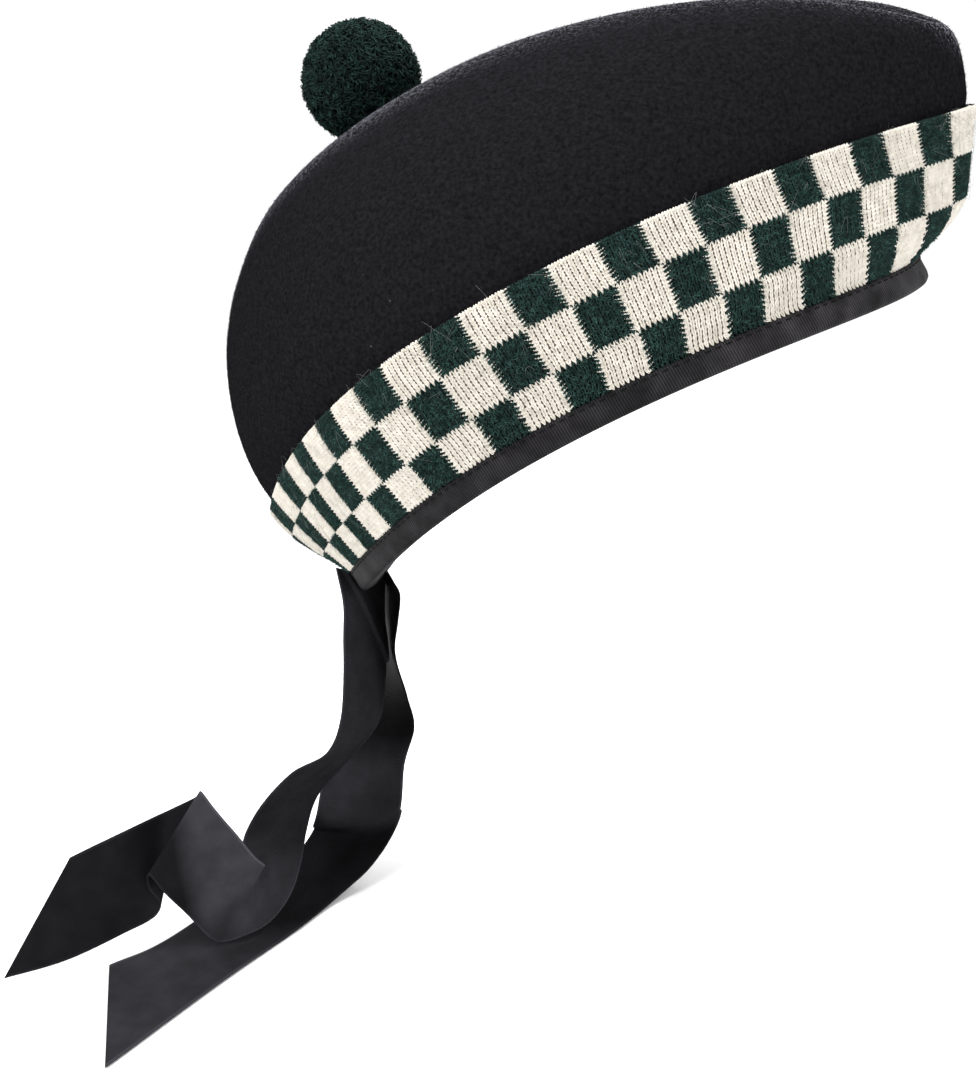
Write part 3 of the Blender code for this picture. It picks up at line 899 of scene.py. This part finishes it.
def make_knit_ground(measure):
    """The shaded sheet under the stitches, and the band's turned top edge with its plain inside."""
    sunk = BAND_WALL * 0.25
    top = BAND_HEIGHT * BAND_SHOULDER
    edge_top = BAND_HEIGHT * 0.99
    under = BINDING_WALL + GAP
    ground_rises = [-BAND_TUCK, *np.linspace(0, top, KNIT_ROWS)]
    ground_depths = [under, under, *[sunk] * (KNIT_ROWS - 1)]
    inside = np.linspace(top, -BAND_TUCK, 8)
    edge_rises = [top, edge_top, edge_top, *inside]
    edge_depths = [sunk, BAND_WALL * 0.45, BAND_WALL * 0.8, *[BAND_WALL] * len(inside)]
    return [
        knit_sheet(measure, "knit_ground", ground_rises, ground_depths, CREAM_GAP_SHADE),
        knit_sheet(measure, "knit_edge", edge_rises, edge_depths, EDGE_CREAM),
    ]


def stitch_legs(measure, random, wale, course, side):
    """One leg of each of many stitches, leaning to a side of its wale."""
    leg = table_columns(LEG_COLUMNS, LEG_TABLE)
    course_rise, course_height, course_row = band_courses()
    first_of_check = np.diff(course_row, prepend=0) > 0
    wobble = random.normal(size=(len(wale), 3, 1)) * np.array(LEG_WOBBLE)[:, None]
    along = leg["along"] + wobble[:, 1]
    along[:, 0] = np.where(first_of_check[course], LOWEST_COURSE_TIP, along[:, 0])
    sideways = leg["lean"][:, None] + leg["half_width"][:, None] * ACROSS + wobble[:, :1]
    column = (wale[:, None, None] + 0.5 + sideways * side) / WALES_A_CHECK
    rise = course_rise[course][:, None, None] + course_height[course][:, None, None] * along[:, :, None]
    relief = leg["relief"][:, None] * (1 - ACROSS**2) * (1 + wobble[:, 2:])
    return band_point(measure, column, rise, STITCH_ROOT - STITCH_RISE * relief)


def check_teeth(measure, random, side):
    """The loops drawn out at one side of each cream check, one a course."""
    tooth = table_columns(TOOTH_COLUMNS, TOOTH_TABLE)
    course_rise, course_height, course_row = band_courses()
    check, course = np.meshgrid(np.arange(CHECK_COLUMNS), np.arange(len(course_rise)), indexing="ij")
    cream = ~check_is_green(check * WALES_A_CHECK, course_row[course])
    check, course = check[cream], course[cream]
    wobble = random.normal(size=(len(check), 2, 1)) * np.array(TOOTH_WOBBLE)[:, None]
    out = tooth["out"] * (1 + wobble[:, 0])
    column = check[:, None] + (side > 0) + side * out / WALES_A_CHECK
    height = course_height[course][:, None]
    middle = course_rise[course][:, None] + height * (TOOTH_RISE + wobble[:, 1] + tooth["climb"])
    rise = middle[:, :, None] + height[:, :, None] * tooth["half_height"][:, None] * ACROSS
    relief = tooth["relief"][:, None] * (1 - ACROSS**2)
    return band_point(measure, column[:, :, None], rise, STITCH_ROOT - STITCH_RISE * relief)


def make_stitches(measure, random, name, material, wale, course, drawn_out):
    """The stitches of one colour as two plump legs each, with loops drawn out of its checks if asked."""
    leg_faces = grid_faces(len(LEG_TABLE), len(ACROSS))
    leg_size = len(LEG_TABLE) * len(ACROSS)
    points, faces = [], []
    for side in (-1, 1):
        legs = stitch_legs(measure, random, wale, course, side)
        if drawn_out:
            legs = np.concatenate([legs, check_teeth(measure, random, side)])
        side_faces = repeated(leg_faces[:, ::-side], leg_size, len(legs))
        faces.append(side_faces + leg_size * sum(map(len, points)))
        points.append(legs)
    return make_piece(name, on_the_head(np.concatenate(points)), np.concatenate(faces), material)


def make_hairs(measure, random):
    """Stray hairs of wool that stand off the band and the edge of the felt."""
    steps = np.linspace(0, 1, len(HAIR_TAPER))
    start = random.random((STRAY_HAIRS, 2, 1)) ** [[1.0], [0.4]] * [[CHECK_COLUMNS], [1.0]]
    drift = random.normal(size=(STRAY_HAIRS, 3, 1))
    swing = np.sin(steps * math.pi * (1 + random.random((STRAY_HAIRS, 1))))
    column = start[:, 0] + 0.14 * drift[:, 0] * steps + 0.16 * drift[:, 1] * swing
    rise = (start[:, 1] + 0.06 * drift[:, 1] * steps + 0.07 * drift[:, 2] * swing) * BAND_HEIGHT
    depth = -STITCH_RISE * (0.7 + 2.2 * np.sin(steps * math.pi * 0.7) * np.abs(drift[:, 2]))
    paths = on_the_head(band_point(measure, column, rise, depth, BAND_HEIGHT * HAIR_TOP))
    points, faces = tubes(paths, HAIR_RADIUS * np.broadcast_to(HAIR_TAPER, column.shape), 3)
    return make_piece("stray_hairs", points, faces, yarn("stray_wool"))


def make_fuzz(measure, random):
    """Short hairs that stand off the green wool."""
    place = random.random((2, FUZZ_HAIRS * 2, 1)) * [[[CHECK_COLUMNS]], [[BAND_HEIGHT]]]
    row = np.searchsorted(ROW_TOPS, place[1] / BAND_HEIGHT)
    green = check_is_green(np.floor(place[0] * WALES_A_CHECK), row)[:, 0]
    column, rise = place[:, green][:, :FUZZ_HAIRS]
    heading = random.random(column.shape) * 2 * math.pi
    length = FUZZ_LENGTH * (SHORTEST_FIBRE + random.random(column.shape))
    share = CHECK_COLUMNS / measure.length(BAND_HEIGHT / 2)
    along = np.array([0.0, 0.0, 1.0]) * length
    sideways = np.array([-1.0, 1.0, 0.0]) * FUZZ_WIDTH
    column = column + (np.cos(heading) * along - np.sin(heading) * sideways) * share
    rise = rise + np.sin(heading) * along + np.cos(heading) * sideways
    points = on_the_head(band_point(measure, column, rise, -STITCH_RISE * np.array(FUZZ_STAND)))
    return make_piece("knit_fuzz", points, fibre_faces(points), yarn("green_fuzz"))


def make_band(measure):
    """The knitted band: its ground, its hairs and fuzz, and every stitch of both colours."""
    random = np.random.default_rng(5)
    course_row = band_courses()[2]
    wales = np.arange(CHECK_COLUMNS * WALES_A_CHECK)
    wale, course = [grid.ravel() for grid in np.meshgrid(wales, np.arange(len(course_row)), indexing="ij")]
    green = check_is_green(wale, course_row[course])
    pieces = [*make_knit_ground(measure), make_hairs(measure, random), make_fuzz(measure, random)]
    for name, material, chosen, drawn_out in (
        ("knit_green", yarn("green_knit"), green, False),
        ("knit_cream", yarn("cream_knit"), ~green, True),
    ):
        stitches = wale[chosen], course[chosen]
        pieces.append(make_stitches(measure, random, name, material, *stitches, drawn_out))
    return pieces


def binding_section():
    """Rises and depths of the folded ribbon, from its outer edge round the rim and up inside."""
    inner = BAND_WALL + FELT_WALL + 2 * GAP
    inner_leg = inner + BINDING_WALL
    bottom = -BINDING_HEIGHT
    return np.array([
        (-BINDING_EDGE_TURN, BINDING_WALL + 2 * BINDING_EDGE_ROLL),
        (-GAP, BINDING_WALL * 0.6),
        (-2 * BINDING_EDGE_ROLL, BINDING_EDGE_ROLL),
        (-BINDING_EDGE_HEIGHT, -BINDING_EDGE_ROLL),
        (bottom * 0.3, 0),
        (bottom * 0.5, 0),
        (bottom * 0.75, 0),
        (bottom * 0.9, BINDING_WALL * 0.3),
        (bottom * 0.98, BINDING_WALL),
        (bottom, BINDING_WALL * 2),
        (bottom, inner - BINDING_WALL),
        (bottom * 0.98, inner),
        (bottom * 0.9, inner_leg),
        (bottom * 0.5, inner_leg),
        (-GAP, inner_leg),
        (-GAP, inner),
    ])


def make_binding(measure):
    """The ribbon folded over the rim, and the stitches along its top edge."""
    split = BINDING_SPLIT / RIM_WIDTH / (2 * math.pi)
    share = np.linspace(split, 1 - split, BINDING_COLUMNS)
    length = measure.length(0)
    stitch = np.cos(share * length / SEWING_PITCH * 2 * math.pi)
    section = binding_section()
    level, depth, share = np.broadcast_arrays(section[:, :1], section[:, 1:], share)
    pucker = SEWING_PUCKER * stitch * np.isin(np.arange(len(section)), SEWN_ROWS)[:, None]
    points = on_the_head(wall_point(level + pucker, measure.turn(share, level), depth))
    walked = np.abs(np.diff(section, axis=0, prepend=section[:1])).sum(axis=1, keepdims=True).cumsum(axis=0)
    material = grosgrain("binding_grosgrain", BINDING_COLOURS, BINDING_PAINTED_SHADING, roughness=0.65, specular=0.06,
                         relief=0.8, edge_highlights=False)
    binding = make_sheet("binding_ribbon", points, material, (share * length, walked))
    return [binding, make_sewing(measure, length)]


def make_sewing(measure, length):
    """The stitches that sew the binding on."""
    count = int(length / SEWING_PITCH)
    centre = (np.arange(count) + 0.5) / count
    share = centre[:, None] + np.linspace(-0.5, 0.5, len(THREAD_ARCH)) * SEWING_LENGTH / length
    rise = np.full(share.shape, -SEWING_BELOW)
    depth = np.broadcast_to(THREAD_DEPTH - THREAD_RISE * np.array(THREAD_ARCH), share.shape)
    paths = on_the_head(wall_point(rise, measure.turn(share, rise), depth))
    radii = THREAD_RADIUS * np.broadcast_to(THREAD_TAPER, share.shape)
    points, faces = tubes(paths, radii, 6)
    return make_piece("binding_sewing", points, faces, yarn("black_thread"))


def spread_directions(count):
    """Directions spread evenly over a ball."""
    i = np.arange(count) + 0.5
    z = 1 - 2 * i / count
    ring = np.sqrt(1 - z * z)
    golden = math.pi * (3 - math.sqrt(5))
    return np.stack([ring * np.cos(golden * i), ring * np.sin(golden * i), z], axis=1)


def make_strands(centre, radius):
    """The pompom's cut yarn, in locks."""
    random = np.random.default_rng(11)
    outward = spread_directions(YARN_ENDS)
    outward = unit(outward + random.normal(size=outward.shape) * YARN_SCATTER)
    curl = square_to(outward, random)
    aside = np.cross(outward, curl)
    to_lock = (outward @ spread_directions(TOORIE_LOCKS).T).max(axis=1, keepdims=True)
    swell = np.interp(to_lock, LOCK_COSINES, (0, 1))
    uneven = random.normal(size=swell.shape).clip(-1.5, 1.2)
    reach = YARN_REACH + LOCK_SWELL * swell + YARN_UNEVENNESS * uneven
    strand = {name: column[:, None] for name, column in table_columns(STRAND_COLUMNS, STRAND_TABLE).items()}
    run = YARN_ROOT + (reach[:, None] - YARN_ROOT) * strand["along"]
    bent = curl[:, None] * strand["curl"] + aside[:, None] * strand["aside"]
    paths = centre + radius * (outward[:, None] * run + YARN_BEND * bent)
    radii = YARN_RADIUS * np.broadcast_to(strand["thickness"][:, 0], paths.shape[:2])
    points, faces = tubes(on_the_head(paths), radii, 3)
    return make_piece("pompom_yarn", points, faces, yarn("pompom_yarn"))


def make_toorie():
    """The pompom: cut yarn on a dark core, which is painted shade deep among the strands, on a short neck
    in the crease.
    """
    ridge = table_columns(RIDGE_COLUMNS, RIDGE_TABLE)
    along = (CREASE_REAR - TOORIE_BEHIND) / (CREASE_REAR + CREASE_FRONT)
    share = np.array([math.acos(1 - 2 * along) / math.pi])
    seat = CROWN_HEIGHT * float(follow(share, ridge["turn"], ridge["crease"])[0]) + 3 * GAP
    radius = TOORIE_DIAMETER / 2
    centre = np.array([-TOORIE_BEHIND, 0, seat + TOORIE_STALK + radius - TOORIE_LOCK_DEPTH])
    strands = make_strands(centre, radius)

    material = yarn("pompom_core")
    polar = np.linspace(CORE_POLE, math.pi - CORE_POLE, CORE_ROWS)
    core_radius = radius * CORE_RADIUS
    ball = turned_rings(centre[0], core_radius * np.sin(polar), centre[2] + core_radius * np.cos(polar))
    core = make_sheet("pompom_core", ball, material, ring=True)

    climb = np.linspace(0, 1, NECK_ROWS)
    tube = turned_rings(centre[0], NECK_RADIUS + NECK_FLARE * (2 * climb - 1) ** 2,
                        seat + climb * (TOORIE_STALK + NECK_OVERLAP))
    neck = make_sheet("pompom_neck", tube, material, ring=True)
    return [strands, core, neck]


def tail_points(table):
    """Rows of points across a tail, from the rim to its slanted end, and the length walked to each."""
    bends = np.array(table)
    rim_back = np.array(Matrix.Rotation(-RIM_TILT, 3, "Y") @ Vector((-RIM_REACH_REAR, 0, 0)))
    middles = bends[:, :3] * TAIL_DROP + rim_back
    halves = unit(bends[:, 3:6]) * bends[:, 6:] * TAIL_WIDTH / 2
    knots = (strides(middles) + strides(halves)).cumsum()
    steps = np.arange(TAIL_STEPS * (len(table) - 1) + 1) / TAIL_STEPS
    places = np.interp(steps, range(len(table)), knots)
    middle, half = (np.stack([follow(places, knots, column) for column in path.T], axis=-1)
                    for path in (middles, halves))
    lane = np.linspace(-1, 1, TAIL_LANES + 1)
    points = middle[:, None] + half[:, None] * lane[:, None]
    return points, strides(points).cumsum(axis=0)


def folded(points, walked, table):
    """A ribbon with folds across it: past each one the layer lies back, then comes forward again."""
    lane = np.linspace(0, 1, points.shape[1])[None]
    normal = unit(np.cross(np.gradient(points, axis=0), np.gradient(points, axis=1)))
    sink = np.zeros(walked.shape)
    for first_edge, second_edge, depth, length in table:
        past = (walked - first_edge - (second_edge - first_edge) * lane) * np.sign(length)
        step = 1 / (1 + np.exp(np.clip(-past / FOLD_STEP, -40, 40)))
        sink += depth * step * np.clip(1 - past / abs(length), 0, 1)
    return points - normal * sink[..., None]


def tucked(points, walked):
    """A ribbon spread and carried on at its cut top, where half of its width shows past the binding."""
    lane = np.linspace(0, 1, points.shape[1])
    shown = np.clip((lane - 0.5) / 0.25, 0.02, 1)
    aside = unit(points[0, -1] - points[0, 0])
    points = points + aside * (TAIL_FLARE * shown * np.exp(-walked / TAIL_TUCK))[..., None]
    up = unit(points[0] - points[1])
    length = TAIL_TUCK * shown
    return np.concatenate([[points[0] + up * length[:, None]], points]), np.concatenate([[-length], walked])


def make_tail(name, table, folds, painted_shading, tuck=False):
    """One ribbon tail, ribbed across, with a painted highlight along the firmer edge on each side."""
    points, walked = tail_points(table)
    if tuck:
        points, walked = tucked(points, walked)
    points = folded(points, walked, folds)
    uv = (walked, np.linspace(0, TAIL_WIDTH, TAIL_LANES + 1))
    material = grosgrain(name, RIBBON_COLOURS, painted_shading, roughness=0.6, specular=0.01, relief=0.3)
    tail = make_sheet(name, points, material, uv)
    solidified(tail, RIBBON_WALL, 0, even=False)
    return [tail]


# Studio

def make_floor(height):
    """A plain pale floor."""
    material = new_material("pale_floor", PALE, roughness=0.9)
    grain = noise(material.node_tree, scale=40, detail=3)
    set_colour(two_tones(grain, "Fac", (SHADED_PALE, PALE), dark_at=0.3, light_at=0.7))
    corners = [(x * FLOOR_REACH, y * FLOOR_REACH, height) for x, y in ((-1, -1), (1, -1), (1, 1), (-1, 1))]
    make_piece("floor", corners, [(0, 1, 2, 3)], material)


def aim(item, place, target):
    """Puts a lamp or a camera in its place, turned to its target."""
    item.location = place
    item.rotation_euler = (Vector(target) - Vector(place)).to_track_quat("-Z", "Y").to_euler()
    bpy.context.scene.collection.objects.link(item)


def make_lights():
    """An even white surround and soft round lamps."""
    world = bpy.data.worlds.new("studio")
    world.use_nodes = True
    set_inputs(world.node_tree.nodes["Background"], Color=(1, 1, 1, 1), Strength=SKY_STRENGTH)
    bpy.context.scene.world = world
    for name, place, target, size, power in LAMPS:
        lamp = bpy.data.lights.new(name, "AREA")
        lamp.shape = "DISK"
        lamp.size = size
        lamp.energy = power
        aim(bpy.data.objects.new(name, lamp), place, target)


def make_camera():
    """The photograph's camera."""
    camera_data = bpy.data.cameras.new("camera")
    camera_data.lens = CAMERA_LENS
    camera_data.clip_start = 0.01
    camera_data.clip_end = 50.0
    camera = bpy.data.objects.new("camera", camera_data)
    aim(camera, CAMERA_PLACE, CAMERA_TARGET)
    bpy.context.scene.camera = camera
    bpy.context.scene.view_settings.view_transform = "Standard"


def plain_box(bounds):
    """A box as plain lists of numbers."""
    return [[float(value) for value in corner] for corner in bounds]


def main():
    """Loads the frame, makes every piece around it in place of its part, and sets up the floor, the lights
    and the camera.
    """
    for leftover in list(bpy.data.objects):
        bpy.data.objects.remove(leftover, do_unlink=True)
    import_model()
    cad_box = plain_box(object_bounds())
    measure = RingMeasure(-BINDING_HEIGHT, BAND_HEIGHT * 1.03)
    for node, slot, pieces in (
        ("crown", "navy_felt", make_crown()),
        ("diced_band", "checked_knit", make_band(measure)),
        ("rim_binding", "grosgrain", make_binding(measure)),
        ("toorie", "green_yarn", make_toorie()),
        ("near_tail", "tail_ribbon",
         make_tail("near_ribbon", NEAR_TAIL_TABLE, NEAR_FOLD_TABLE, NEAR_PAINTED_SHADING, tuck=True)),
        ("far_tail", "tail_ribbon", make_tail("far_ribbon", FAR_TAIL_TABLE, FAR_FOLD_TABLE, FAR_PAINTED_SHADING)),
    ):
        for piece in pieces:
            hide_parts(node)
            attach(piece, "root")
    make_floor(cad_box[0][2] - FLOOR_GAP)
    make_lights()
    make_camera()


main()
